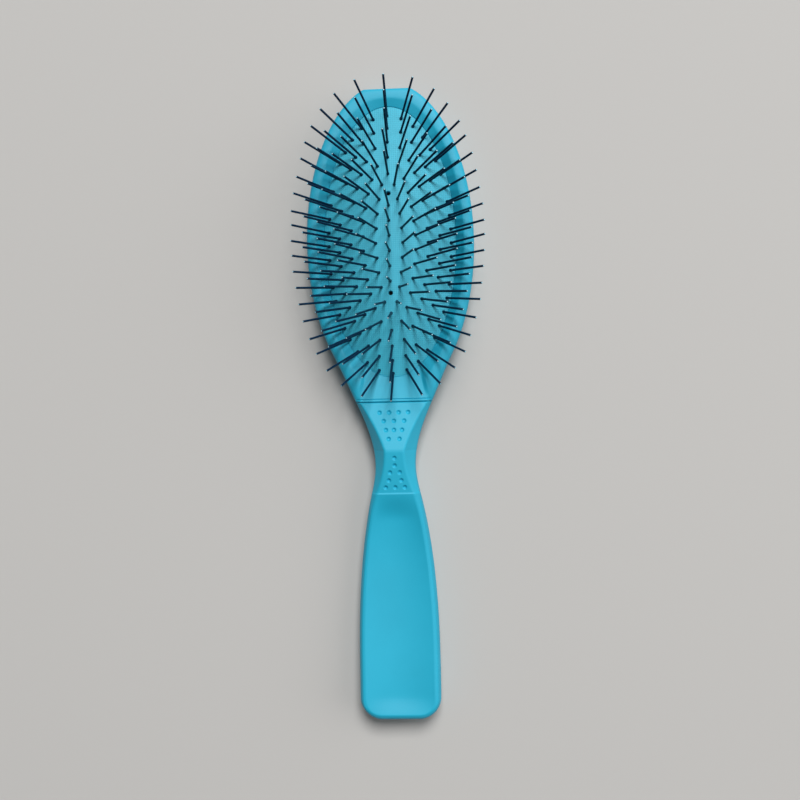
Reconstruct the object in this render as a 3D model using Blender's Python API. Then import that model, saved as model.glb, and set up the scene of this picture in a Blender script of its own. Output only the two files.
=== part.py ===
"""Oval cushion pin brush lying on its back, at full size in metres.

+Y points to the head, +X to the right and +Z up through the pins. The origin
is on the flat back, under the centre of the cushion. The brush is a back shell
from head to grip, a front shell over neck and grip, a bezel that clamps the
rubber cushion, and 166 pins that stand in nested ovals on slices of the rubber.
"""
import math

import bmesh
import bpy
from mathutils import Vector
from mathutils.geometry import delaunay_2d_cdt

MM = 0.001

# Clearances
SEAM_GAP = 0.3 * MM              # between moulded pieces that meet
SLOT_GAP = 0.45 * MM             # between a pin strip and the rubber round it

# Head in plan, an oval whose top is cut flat
HEAD_HALF_WIDTH = 30.5 * MM
HEAD_HALF_LENGTH = 58.2 * MM
HEAD_FLAT_HALF_WIDTH = 8.6 * MM
RIM_SIDE_WIDTH = 6.5 * MM        # from the edge of the cushion to the head's side
RIM_TOP_WIDTH = 6.5 * MM
RIM_NECK_WIDTH = 8.9 * MM
OVAL_END_ANGLE = math.radians(-44)

# Neck and grip in plan
NECK_SEAM_HALF_WIDTH = 13.8 * MM
WAIST_HALF_WIDTH = 7.3 * MM
STEP_HALF_WIDTH = 8.7 * MM
GRIP_SWELL_HALF_WIDTH = 14.3 * MM
GRIP_HALF_WIDTH = 14.7 * MM
UPPER_FACET_LENGTH = 17.5 * MM   # from the neck seam to the crest
WAIST_OFFSET = 5.7 * MM          # from the crest to the narrowest place
LOWER_FACET_LENGTH = 15.5 * MM   # from the crest to the step
GRIP_SWELL_LENGTH = 42.3 * MM    # from the step to where the sides turn straight
GRIP_LENGTH = 82.4 * MM          # from the step to the end
GRIP_CORNER_RADIUS = 8.0 * MM
CREST_HALF_WIDTH = 3.6 * MM      # of the flat facet on top of the neck
SEAM_FACET_INSET = 1.4 * MM
GRIP_BAND = 1.8 * MM             # bevelled border round the grip's hollow face

# Slopes of the side lines in plan, in width per length
THROAT_SLOPE = 0.46
STEP_SLOPE = -0.245
SWELL_SLOPE = -0.05

# Heights of the back shell
BACK_DEPTH = 7.5 * MM
FLOOR_THICKNESS = 2.2 * MM
SHELL_WALL = 3.0 * MM
BACK_EDGE_INSET = 4.2 * MM
BACK_EDGE_HEIGHT = 5.6 * MM
RIB_THICKNESS = 1.6 * MM
RIB_SETBACK = 0.6 * MM

# Heights of the bezel and the rubber
RUBBER_THICKNESS = 1.3 * MM
FLANGE_WIDTH = 2.2 * MM
LIP_THICKNESS = 0.6 * MM
RIM_RISE = 2.0 * MM              # crest of the rim above its inner lip
RIM_DIP_SHARE = 0.45             # of that rise, lost at the head end
RIM_DIP_RUN = 28.0 * MM          # from the head end to the full rise
CROWN_RISE = 5.2 * MM            # crown of the cushion above its shoulder
SHOULDER_RISE = 0.6 * MM         # steep edge of the cushion above its flange
SHOULDER_SHARE = 0.02            # of the oval's squared radius, for that edge
VENT_RADIUS = 0.75 * MM

# Section of the rim: share of the way inwards, and drop as a share of its rise
RIM_PROFILE = ((0.0, 1.1), (0.09, 0.4), (0.22, 0.1), (0.46, 0.0), (0.58, 0.08),
               (0.68, 0.28), (1.0, 1.0))

# Heights of the front shell above the seam with the back shell
NECK_SEAM_RISE = 4.3 * MM
CREST_RISE = 8.5 * MM
STEP_RISE = 6.1 * MM
STEP_LIFT = 0.35 * MM            # of the grip's face above the facet's end
STEP_RUN = 0.3 * MM
SCOOP_RISE = 3.3 * MM
GRIP_END_RISE = 6.0 * MM
SCOOP_OFFSET = 29.0 * MM         # from the step to the lowest place of the face
SCOOP_START_SLOPE = 0.24
SCOOP_END_SLOPE = -0.05
HOLLOW_DEPTH = 1.6 * MM          # of the grip's face across its width
HOLLOW_START_RUN = 10.0 * MM     # from the step to the hollow's full depth
HOLLOW_END_RUN = 9.0 * MM
SEAM_BEVEL_DROP = 2.3 * MM
CREST_BEVEL_DROP = 6.5 * MM
GRIP_BEVEL_DROP = 2.2 * MM
FRONT_WALL = 2.6 * MM
FRONT_SIDE_WALL = 3.6 * MM

# Dimples on the neck: distance along the facet and spacing of each row
DIMPLE_RADIUS = 0.85 * MM
DIMPLE_DEPTH = 0.45 * MM
UPPER_DIMPLE_ROWS = ((3.8 * MM, 3.45 * MM), (6.85 * MM, 3.7 * MM),
                     (10.1 * MM, 2.9 * MM), (13.3 * MM, 3.9 * MM))
UPPER_DIMPLE_COUNTS = (4, 3, 3, 2)
LOWER_DIMPLE_ROWS = ((2.6 * MM, 3.5 * MM), (5.35 * MM, 3.5 * MM), (7.85 * MM, 3.5 * MM),
                     (10.75 * MM, 4.5 * MM), (13.3 * MM, 3.45 * MM))
LOWER_DIMPLE_COUNTS = (1, 1, 2, 2, 3)

# Pins, in five nested ovals round a centre line
RING_COUNT = 5
CENTRE_PINS = 6
SIDE_PINS_OF_FIRST_RING = 9
PIN_SIDE_MARGIN = 1.85 * MM      # from the outermost side pins to the rubber's edge
PIN_END_MARGIN = 2.6 * MM
PIN_FIELD_SETBACK = 1.1 * MM     # of pins and vents, from the pad's middle to the handle
PIN_FOOT_WIDTH = 1.3 * MM
PIN_WIDTH = 0.8 * MM
PIN_TIP_WIDTH = 0.4 * MM
PIN_COLLAR_HEIGHT = 0.9 * MM
PIN_TIP_LENGTH = 0.4 * MM
PIN_LENGTH = 19.2 * MM

# Shape of the nested ovals, as shares of the outermost one
RING_WIDTH_BOW_SHARE = 0.117
RING_END_START_SHARE = 0.395
RING_END_BOW_SHARE = 0.126
RING_POWER_START = 1.16
RING_POWER_STEP = 0.178
SIDE_PITCH_SHARE = 0.1065
CENTRE_PITCH_GAIN_SHARE = 0.0097
VENT_SHARE = 0.383
ARC_BOW_SHARE = 0.58

# Splay of the pins, as the sine of the lean
SIDE_LEAN = 0.625
SIDE_LEAN_REACH_SHARE = 0.49     # of the outermost ring's half-width
END_LEAN = 0.515
END_LEAN_POWER = 1.6

# Smoothness of the curves
OVAL_STEPS = 18
FLAT_STEPS = 4
THROAT_STEPS = 4
NECK_STEPS = 6
GRIP_STEPS = 8
CORNER_STEPS = 6
BACK_EDGE_STEPS = 5
RUBBER_STEPS = 44
VENT_SIDES = 6

# Sizes that follow from the ones above
HEAD_TOP_Y = HEAD_HALF_LENGTH * math.sqrt(1 - (HEAD_FLAT_HALF_WIDTH / HEAD_HALF_WIDTH) ** 2)
PAD_HALF_WIDTH = HEAD_HALF_WIDTH - RIM_SIDE_WIDTH
PAD_HALF_LENGTH = HEAD_TOP_Y - RIM_TOP_WIDTH
SEAM_Y = -PAD_HALF_LENGTH - RIM_NECK_WIDTH
CREST_Y = SEAM_Y - UPPER_FACET_LENGTH
WAIST_Y = CREST_Y - WAIST_OFFSET
STEP_Y = CREST_Y - LOWER_FACET_LENGTH
SWELL_Y = STEP_Y - GRIP_SWELL_LENGTH
END_Y = STEP_Y - GRIP_LENGTH
CORNER_Y = END_Y + GRIP_CORNER_RADIUS
SCOOP_Y = STEP_Y - SCOOP_OFFSET
OVAL_END_Y = HEAD_HALF_LENGTH * math.sin(OVAL_END_ANGLE)
OVAL_END_HALF_WIDTH = HEAD_HALF_WIDTH * math.cos(OVAL_END_ANGLE)
OVAL_END_SLOPE = -math.tan(OVAL_END_ANGLE) * HEAD_HALF_WIDTH / HEAD_HALF_LENGTH

FLANGE_BOTTOM = BACK_DEPTH + SEAM_GAP
FLANGE_TOP = FLANGE_BOTTOM + RUBBER_THICKNESS
LIP_BOTTOM = FLANGE_TOP + SEAM_GAP
LIP_TOP = LIP_BOTTOM + LIP_THICKNESS
FRONT_BOTTOM = BACK_DEPTH + SEAM_GAP

OUTER_RING_HALF_WIDTH = PAD_HALF_WIDTH - PIN_SIDE_MARGIN
OUTER_RING_HALF_LENGTH = PAD_HALF_LENGTH - PIN_END_MARGIN

# Materials: colour, metallic and roughness
BODY_PLASTIC = ("teal_satin_plastic", (0.045, 0.42, 0.56), 0.0, 0.45)
CUSHION_RUBBER = ("teal_rubber", (0.075, 0.44, 0.56), 0.0, 0.7)
PIN_NYLON = ("dark_pin_nylon", (0.006, 0.02, 0.045), 0.0, 0.3)


def clear_scene():
    """Remove whatever the opened file holds."""
    for obj in list(bpy.data.objects):
        bpy.data.objects.remove(obj)


def make_material(spec):
    """One Principled material from its name, colour, metallic and roughness."""
    name, colour, metallic, roughness = spec
    material = bpy.data.materials.new(name)
    material.use_nodes = True
    shader = material.node_tree.nodes["Principled BSDF"]
    shader.inputs["Base Color"].default_value = (*colour, 1.0)
    shader.inputs["Metallic"].default_value = metallic
    shader.inputs["Roughness"].default_value = roughness
    material.diffuse_color = (*colour, 1.0)
    return material


def make_object(name, bm, collection, material=None):
    """Turn a finished bmesh into an object whose faces point outwards."""
    bmesh.ops.recalc_face_normals(bm, faces=bm.faces)
    mesh = bpy.data.meshes.new(name)
    bm.to_mesh(mesh)
    bm.free()
    obj = bpy.data.objects.new(name, mesh)
    if material is not None:
        mesh.materials.append(material)
    collection.objects.link(obj)
    return obj


def make_cutter(name, bm, collection):
    """An object that only shapes others, drawn as wire."""
    cutter = make_object(name, bm, collection)
    cutter.hide_render = True
    cutter.display_type = 'WIRE'
    return cutter


def add_boolean(obj, cutter, operation):
    """Join or cut an object with another."""
    modifier = obj.modifiers.new(cutter.name, 'BOOLEAN')
    modifier.operation = operation
    modifier.object = cutter


def ease(share):
    """From 0 to 1 with level ends."""
    share = min(1.0, max(0.0, share))
    return share * share * (3 - 2 * share)


def smooth_step(start, end, start_slope, end_slope, share):
    """Point at a share of the way along a curve with the given end slopes."""
    span = end[0] - start[0]
    toward_end = share * share * (3 - 2 * share)
    value = start[1] + (end[1] - start[1]) * toward_end
    value += start_slope * span * share * (1 - share) ** 2
    value += end_slope * span * share * share * (share - 1)
    return value


def curve_value(y, stations):
    """Read a smooth curve through stations of place, value and slope."""
    for start, end in zip(stations, stations[1:]):
        if y >= end[0]:
            share = (start[0] - y) / (start[0] - end[0])
            return smooth_step(start, end, start[2], end[2], share)
    return stations[-1][1]


def line_value(y, stations):
    """Read a line with corners through stations of place and value."""
    for start, end in zip(stations, stations[1:]):
        if y >= end[0]:
            share = (start[0] - y) / (start[0] - end[0])
            return start[1] + (end[1] - start[1]) * share
    return stations[-1][1]


def half_width(y):
    """Half the width of the brush below the head's oval, at a place along it."""
    return curve_value(y, (
        (OVAL_END_Y, OVAL_END_HALF_WIDTH, OVAL_END_SLOPE),
        (SEAM_Y, NECK_SEAM_HALF_WIDTH, THROAT_SLOPE),
        (WAIST_Y, WAIST_HALF_WIDTH, 0.0),
        (STEP_Y, STEP_HALF_WIDTH, STEP_SLOPE),
        (SWELL_Y, GRIP_SWELL_HALF_WIDTH, SWELL_SLOPE),
        (CORNER_Y, GRIP_HALF_WIDTH, 0.0),
    ))


def steps_between(start, end, count):
    """Even places from start towards end, without the end itself."""
    return [start + (end - start) * i / count for i in range(count)]


def head_side():
    """Right side of the head from its flat top down to the neck seam."""
    first_angle = math.asin(HEAD_TOP_Y / HEAD_HALF_LENGTH)
    points = [(HEAD_HALF_WIDTH * math.cos(a), HEAD_HALF_LENGTH * math.sin(a))
              for a in steps_between(first_angle, OVAL_END_ANGLE, OVAL_STEPS)]
    points += [(half_width(y), y) for y in steps_between(OVAL_END_Y, SEAM_Y, THROAT_STEPS)]
    points.append((NECK_SEAM_HALF_WIDTH, SEAM_Y))
    return points


def corner_points(radius, centre_x):
    """Round corner at the end of the grip, from its side to its end face."""
    angles = [math.pi / 2 * i / CORNER_STEPS for i in range(CORNER_STEPS + 1)]
    return [(centre_x + radius * math.cos(a), CORNER_Y - radius * math.sin(a)) for a in angles]


def lower_places():
    """Places along the neck and grip where their sides have points."""
    places = steps_between(CREST_Y, STEP_Y, NECK_STEPS)
    places += steps_between(STEP_Y, SWELL_Y, GRIP_STEPS)
    places += steps_between(SWELL_Y, CORNER_Y, CORNER_STEPS // 2)
    return places


def whole_outline():
    """Closed outline of the whole brush, anticlockwise seen from above."""
    side = head_side()
    side += [(half_width(y), y) for y in steps_between(SEAM_Y, CREST_Y, NECK_STEPS)[1:]]
    side += [(half_width(y), y) for y in lower_places()]
    side += corner_points(GRIP_CORNER_RADIUS, GRIP_HALF_WIDTH - GRIP_CORNER_RADIUS)
    left = [Vector((-x, y)) for x, y in side]
    right = [Vector((x, y)) for x, y in reversed(side)]
    return left + right


def inset_loop(loop, distance):
    """Move a closed anticlockwise outline inwards by the same distance all round."""
    moved = []
    for i, point in enumerate(loop):
        before = (point - loop[i - 1]).normalized()
        after = (loop[(i + 1) % len(loop)] - point).normalized()
        inward = Vector((-before.y - after.y, before.x + after.x))
        inward /= inward.dot(Vector((-after.y, after.x)))
        moved.append(point + inward * distance)
    return moved


def raise_loop(bm, loop, height):
    """Vertices of a plan outline at one height."""
    return [bm.verts.new((p[0], p[1], height)) for p in loop]


def bridge(bm, lower, upper):
    """Side faces between two closed loops of as many points."""
    for i, corner in enumerate(lower):
        bm.faces.new((lower[i - 1], corner, upper[i], upper[i - 1]))


def stack_loops(bm, loops):
    """Closed solid through a stack of vertex loops, with a flat face at both ends."""
    for lower, upper in zip(loops, loops[1:]):
        bridge(bm, lower, upper)
    bm.faces.new(loops[0])
    bm.faces.new(loops[-1])


def oval_loop(extra, count):
    """The cushion's outline grown by an extra width, anticlockwise."""
    turns = [2 * math.pi * i / count for i in range(count)]
    return [Vector(((PAD_HALF_WIDTH + extra) * math.cos(t),
                    (PAD_HALF_LENGTH + extra) * math.sin(t))) for t in turns]


def build_back_shell(parts, cutters, material):
    """Flat-backed pan with round edges, hollow from head to grip."""
    outline = whole_outline()
    bm = bmesh.new()
    loops = []
    for i in range(BACK_EDGE_STEPS + 1):
        turn = math.pi / 2 * i / BACK_EDGE_STEPS
        edge = inset_loop(outline, BACK_EDGE_INSET * (1 - math.sin(turn)))
        loops.append(raise_loop(bm, edge, BACK_EDGE_HEIGHT * (1 - math.cos(turn))))
    loops.append(raise_loop(bm, outline, BACK_DEPTH))
    stack_loops(bm, loops)
    shell = make_object("back_shell", bm, parts, material)

    hollow = bmesh.new()
    inner = inset_loop(outline, SHELL_WALL)
    stack_loops(hollow, [raise_loop(hollow, inner, FLOOR_THICKNESS),
                         raise_loop(hollow, inner, 2 * BACK_DEPTH)])
    add_boolean(shell, make_cutter("cut_back_hollow", hollow, cutters), 'DIFFERENCE')

    rib = bmesh.new()
    inside = oval_loop(RIB_SETBACK, RUBBER_STEPS)
    outside = oval_loop(RIB_SETBACK + RIB_THICKNESS, RUBBER_STEPS)
    root = FLOOR_THICKNESS / 2
    section = [raise_loop(rib, inside, root), raise_loop(rib, outside, root),
               raise_loop(rib, outside, BACK_DEPTH), raise_loop(rib, inside, BACK_DEPTH)]
    for i, loop in enumerate(section):
        bridge(rib, section[i - 1], loop)
    add_boolean(shell, make_cutter("join_seat_rib", rib, cutters), 'UNION')
    return shell


def ray_to_oval(point, extra):
    """Where the line from the pad's centre to a point meets the grown oval."""
    x_share = point.x / (PAD_HALF_WIDTH + extra)
    y_share = point.y / (PAD_HALF_LENGTH + extra)
    return point / math.hypot(x_share, y_share)


def is_neck_face(point):
    """Whether a place of the bezel's outline is on the seam with the neck."""
    return point.y < SEAM_Y + SEAM_GAP and abs(point.x) < NECK_SEAM_HALF_WIDTH - SEAM_GAP


def rim_rise(y):
    """Height of the rim's crest above its inner lip, which is less at the head end."""
    return RIM_RISE * (1 - RIM_DIP_SHARE * ease(1 - (HEAD_TOP_Y - y) / RIM_DIP_RUN))


def build_bezel(parts, material):
    """Oval frame with a round rim, a sloping inner wall and a lip over the flange."""
    top = [(x, HEAD_TOP_Y) for x in steps_between(0.0, HEAD_FLAT_HALF_WIDTH, FLAT_STEPS)]
    bottom = [(x, SEAM_Y) for x in steps_between(0.0, NECK_SEAM_HALF_WIDTH, FLAT_STEPS)]
    right = top + head_side() + bottom[::-1]
    left = [(-x, y) for x, y in reversed(right[1:-1])]
    outer = [Vector(p) for p in right + left]
    bm = bmesh.new()
    sections = []
    for point in outer:
        inner = ray_to_oval(point, SEAM_GAP)
        groove = ray_to_oval(point, FLANGE_WIDTH + SEAM_GAP)
        ring = [bm.verts.new((*point, FRONT_BOTTOM))]
        for share, drop in RIM_PROFILE:
            if is_neck_face(point):
                drop = max(RIM_PROFILE[0][1] * (share == 0), share)
            height = LIP_TOP + rim_rise(point.y) * (1 - drop)
            ring.append(bm.verts.new((*point.lerp(inner, share), height)))
        ring.append(bm.verts.new((*inner, LIP_BOTTOM)))
        ring.append(bm.verts.new((*groove, LIP_BOTTOM)))
        ring.append(bm.verts.new((*groove, FRONT_BOTTOM)))
        sections.append(ring)
    for i, section in enumerate(sections):
        bridge(bm, sections[i - 1], section)
    return make_object("head_bezel", bm, parts, material)


def face_height(y):
    """Height of the neck's facets and the grip's hollow face."""
    if y > STEP_Y - STEP_RUN / 2:
        rise = line_value(y, ((SEAM_Y, NECK_SEAM_RISE), (CREST_Y, CREST_RISE),
                              (STEP_Y, STEP_RISE)))
    else:
        rise = curve_value(y, (
            (STEP_Y, STEP_RISE + STEP_LIFT, SCOOP_START_SLOPE),
            (SCOOP_Y, SCOOP_RISE, 0.0),
            (END_Y, GRIP_END_RISE, SCOOP_END_SLOPE),
        ))
    return BACK_DEPTH + rise


def face_hollow(y):
    """How far the middle of the grip's face lies below its sides."""
    start = ease((STEP_Y - y) / HOLLOW_START_RUN)
    end = ease((y - END_Y) / HOLLOW_END_RUN)
    return HOLLOW_DEPTH * start * end


def bevel_drop(y):
    """How far the side edge lies below the face."""
    return line_value(y, ((SEAM_Y, SEAM_BEVEL_DROP), (CREST_Y, CREST_BEVEL_DROP),
                          (STEP_Y, GRIP_BEVEL_DROP), (END_Y, GRIP_BEVEL_DROP)))


def face_half_width(y):
    """Half the width of the flat facets and of the hollow face."""
    if y <= STEP_Y:
        return half_width(y) - GRIP_BAND
    return line_value(y, ((SEAM_Y, NECK_SEAM_HALF_WIDTH - SEAM_FACET_INSET),
                          (CREST_Y, CREST_HALF_WIDTH),
                          (STEP_Y, STEP_HALF_WIDTH - GRIP_BAND)))


def front_rows():
    """Outer and face points of the front shell's right side, down to its end."""
    top = SEAM_Y - SEAM_GAP
    places = steps_between(top, CREST_Y, NECK_STEPS)
    places += steps_between(CREST_Y, STEP_Y, NECK_STEPS)
    places.append(STEP_Y)
    grip = steps_between(STEP_Y - STEP_RUN, SWELL_Y, GRIP_STEPS)
    grip += steps_between(SWELL_Y, CORNER_Y, CORNER_STEPS // 2)
    rows = [((half_width(y), y), (face_half_width(y), y)) for y in places + grip]
    corner_x = GRIP_HALF_WIDTH - GRIP_CORNER_RADIUS
    rows += zip(corner_points(GRIP_CORNER_RADIUS, corner_x),
                corner_points(GRIP_CORNER_RADIUS - GRIP_BAND, corner_x))
    return rows


def build_front_shell(parts, cutters, material):
    """Faceted neck and hollowed grip face, open underneath."""
    rows = front_rows()
    bm = bmesh.new()
    base = []
    edge = []
    face = []
    for (outer_x, outer_y), (face_x, face_y) in rows:
        top = face_height(face_y)
        bend = top - bevel_drop(outer_y)
        middle = top - face_hollow(face_y)
        base.append([bm.verts.new((x, outer_y, FRONT_BOTTOM)) for x in (-outer_x, 0.0, outer_x)])
        edge.append([bm.verts.new((x, outer_y, bend)) for x in (-outer_x, outer_x)])
        face.append([bm.verts.new((x, face_y, z))
                     for x, z in ((-face_x, top), (0.0, middle), (face_x, top))])
    for row in (edge[0], edge[-1]):
        row.insert(1, bm.verts.new((0.0, row[0].co.y, row[0].co.z)))
    for level in (base, face):
        for near, far in zip(level, level[1:]):
            for i in range(2):
                bm.faces.new((near[i], far[i], far[i + 1], near[i + 1]))
    bridge(bm, loop_round(base), loop_round(edge))
    bridge(bm, loop_round(edge), loop_round(face))
    shell = make_object("front_shell", bm, parts, material)
    add_boolean(shell, front_hollow(rows, cutters), 'DIFFERENCE')
    add_boolean(shell, dimple_cutter(cutters), 'DIFFERENCE')
    return shell


def loop_round(rows):
    """Closed loop down the left ends of the rows and back up their right ends."""
    left = [row[0] for row in rows]
    right = [row[-1] for row in reversed(rows)]
    return left + [rows[-1][1]] + right + [rows[0][1]]


def front_hollow(rows, cutters):
    """Cutter for the space under the front shell, which follows its face."""
    left = [Vector((-p[0], p[1])) for p, _ in rows]
    right = [Vector(p) for p, _ in reversed(rows)]
    loop = inset_loop(left + right, FRONT_SIDE_WALL)
    bm = bmesh.new()
    low = raise_loop(bm, loop, BACK_DEPTH - SHELL_WALL)
    high = [bm.verts.new((p.x, p.y, face_height(p.y) - FRONT_WALL)) for p in loop]
    bridge(bm, low, high)
    count = len(rows)
    for i in range(count - 1):
        for level in (low, high):
            bm.faces.new((level[i], level[i + 1], level[-i - 2], level[-i - 1]))
    return make_cutter("cut_front_hollow", bm, cutters)


def dimple_places():
    """Centres of the neck's dimples on its two facets."""
    upper = (SEAM_Y, UPPER_DIMPLE_ROWS, UPPER_DIMPLE_COUNTS)
    lower = (CREST_Y, LOWER_DIMPLE_ROWS, LOWER_DIMPLE_COUNTS)
    for start, rows, counts in (upper, lower):
        for (distance, spacing), count in zip(rows, counts):
            for i in range(count):
                yield (i - (count - 1) / 2) * spacing, start - distance


def dimple_cutter(cutters):
    """Small balls that sink a shallow dimple each."""
    ball_radius = (DIMPLE_RADIUS ** 2 + DIMPLE_DEPTH ** 2) / (2 * DIMPLE_DEPTH)
    bm = bmesh.new()
    for x, y in dimple_places():
        ball = bmesh.ops.create_uvsphere(bm, u_segments=8, v_segments=16, radius=ball_radius)
        centre = Vector((x, y, face_height(y) + ball_radius - DIMPLE_DEPTH))
        bmesh.ops.translate(bm, verts=ball["verts"], vec=centre)
    return make_cutter("cut_dimples", bm, cutters)


def rubber_height(x, y):
    """Top of the rubber: a dome inside the pad's oval and a flat flange outside."""
    share = (x / PAD_HALF_WIDTH) ** 2 + (y / PAD_HALF_LENGTH) ** 2
    inside = max(0.0, 1 - share)
    shoulder = SHOULDER_RISE * min(1.0, inside / SHOULDER_SHARE)
    return FLANGE_TOP + shoulder + CROWN_RISE * inside


def ring_shape(ring):
    """Half-width, half-length and power of one nested oval of pins."""
    share = ring / RING_COUNT
    width = OUTER_RING_HALF_WIDTH * share * (1 + RING_WIDTH_BOW_SHARE * (1 - share))
    end_rise = 1 + RING_END_BOW_SHARE - RING_END_START_SHARE
    length_share = RING_END_START_SHARE + end_rise * share - RING_END_BOW_SHARE * share * share
    power = RING_POWER_START + RING_POWER_STEP * ring
    return width, OUTER_RING_HALF_LENGTH * length_share, power


def side_pitch(ring):
    """Distance between neighbouring side pins of one oval."""
    share = SIDE_PITCH_SHARE + CENTRE_PITCH_GAIN_SHARE * (1 - ring / RING_COUNT) ** 2
    return OUTER_RING_HALF_LENGTH * share


def side_places(ring):
    """Pins down the right side of one oval."""
    width, length, power = ring_shape(ring)
    count = SIDE_PINS_OF_FIRST_RING + ring - 1
    places = []
    for i in range(count):
        y = (i - (count - 1) / 2) * side_pitch(ring)
        places.append(Vector((width * math.sqrt(1 - abs(y / length) ** power), y)))
    return places


def arc_places(ring):
    """Pins round the head end of one oval, from its right to its left."""
    width, length, power = ring_shape(ring)
    reach = side_places(ring)[-1].x
    places = []
    for i in range(1 - ring, ring):
        share = abs(i) / ring
        x = reach * share * (1 + ARC_BOW_SHARE * (1 - share))
        y = length * (1 - (x / width) ** 2) ** (1 / power)
        places.append(Vector((-x if i > 0 else x, y)))
    return places


def centre_places():
    """Pins on the centre line, between the vents."""
    return [Vector((0.0, (i - (CENTRE_PINS - 1) / 2) * side_pitch(0)))
            for i in range(CENTRE_PINS)]


def pin_rows():
    """Every row of pins by its node's name; row 1 is the outermost."""
    rows = {}
    for ring in range(RING_COUNT, 0, -1):
        number = RING_COUNT + 1 - ring
        side = side_places(ring)
        arc = arc_places(ring)
        rows[f"pin_row_{number}_right"] = side
        rows[f"pin_row_{number}_left"] = [Vector((-p.x, p.y)) for p in side]
        rows[f"pin_row_{number}_head"] = arc
        rows[f"pin_row_{number}_neck"] = [Vector((p.x, -p.y)) for p in arc]
    rows["pin_row_centre"] = centre_places()
    shift = Vector((0.0, -PIN_FIELD_SETBACK))
    return {name: [place + shift for place in places] for name, places in rows.items()}


def row_directions(places):
    """Direction of the row at each of its pins."""
    if len(places) == 1:
        return [Vector((1.0, 0.0))]
    directions = []
    for i in range(len(places)):
        ahead = places[min(i + 1, len(places) - 1)] - places[i]
        behind = places[i] - places[max(i - 1, 0)]
        directions.append((ahead.normalized() + behind.normalized()).normalized())
    return directions


def slot_loop(places):
    """Outline of the slot in the rubber that a row's strip lies in."""
    half = PIN_FOOT_WIDTH / 2 + SLOT_GAP
    directions = row_directions(places)
    first = places[0] - directions[0] * half
    last = places[-1] + directions[-1] * half
    path = [first] + places[1:-1] + [last]
    left = []
    right = []
    for i, point in enumerate(path):
        ahead = (path[min(i + 1, len(path) - 1)] - point).normalized()
        behind = (point - path[max(i - 1, 0)]).normalized()
        middle = (ahead + behind).normalized()
        across = Vector((-middle.y, middle.x)) * half
        if 0 < i < len(path) - 1:
            across /= middle.dot(ahead)
        left.append(point + across)
        right.append(point - across)
    return right + left[::-1]


def pin_direction(place):
    """Unit direction of a pin: upright at the centre, splayed towards the edge."""
    reach = SIDE_LEAN_REACH_SHARE * OUTER_RING_HALF_WIDTH
    across = SIDE_LEAN * math.tanh(place.x / reach)
    from_middle = place.y + PIN_FIELD_SETBACK
    share = abs(from_middle) / OUTER_RING_HALF_LENGTH
    along = math.copysign(END_LEAN * share ** END_LEAN_POWER, from_middle)
    return Vector((across, along, math.sqrt(1 - across * across - along * along)))


def add_pin(bm, foot, place, direction):
    """Raise one four-sided pin with a collar and a blunt tip from its foot."""
    axis = pin_direction(place)
    along = Vector((*direction, 0.0))
    along = (along - axis * along.dot(axis)).normalized()
    across = axis.cross(along)
    base = Vector((*place, rubber_height(*place)))
    stages = ((PIN_COLLAR_HEIGHT, PIN_WIDTH), (PIN_LENGTH - PIN_TIP_LENGTH, PIN_WIDTH),
              (PIN_LENGTH, PIN_TIP_WIDTH))
    ring = foot
    for distance, width in stages:
        centre = base + axis * distance
        reach = width / 2
        corners = [centre + (along * a + across * b) * reach
                   for a, b in ((-1, -1), (1, -1), (1, 1), (-1, 1))]
        upper = [bm.verts.new(corner) for corner in corners]
        bridge(bm, ring, upper)
        ring = upper
    bm.faces.new(ring)


def build_pin_row(name, places, parts, material):
    """A slice of the rubber with its row of pins standing on it."""
    bm = bmesh.new()
    half = PIN_FOOT_WIDTH / 2
    stations = []
    for place, direction in zip(places, row_directions(places)):
        across = Vector((-direction.y, direction.x))
        for ahead in (-half, half):
            corners = []
            for sideways, drop in ((-half, 0), (half, 0),
                                   (half, RUBBER_THICKNESS), (-half, RUBBER_THICKNESS)):
                point = place + direction * ahead + across * sideways
                corners.append(bm.verts.new((*point, rubber_height(*point) - drop)))
            stations.append(corners)
    for number, (near, far) in enumerate(zip(stations, stations[1:])):
        for i in range(4):
            if i != 1 or number % 2 == 1:
                bm.faces.new((near[i - 1], near[i], far[i], far[i - 1]))
    bm.faces.new(stations[0])
    bm.faces.new(stations[-1])
    for number, (place, direction) in enumerate(zip(places, row_directions(places))):
        near = stations[2 * number]
        far = stations[2 * number + 1]
        add_pin(bm, [near[0], far[0], far[1], near[1]], place, direction)
    return make_object(name, bm, parts, material)


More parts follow.
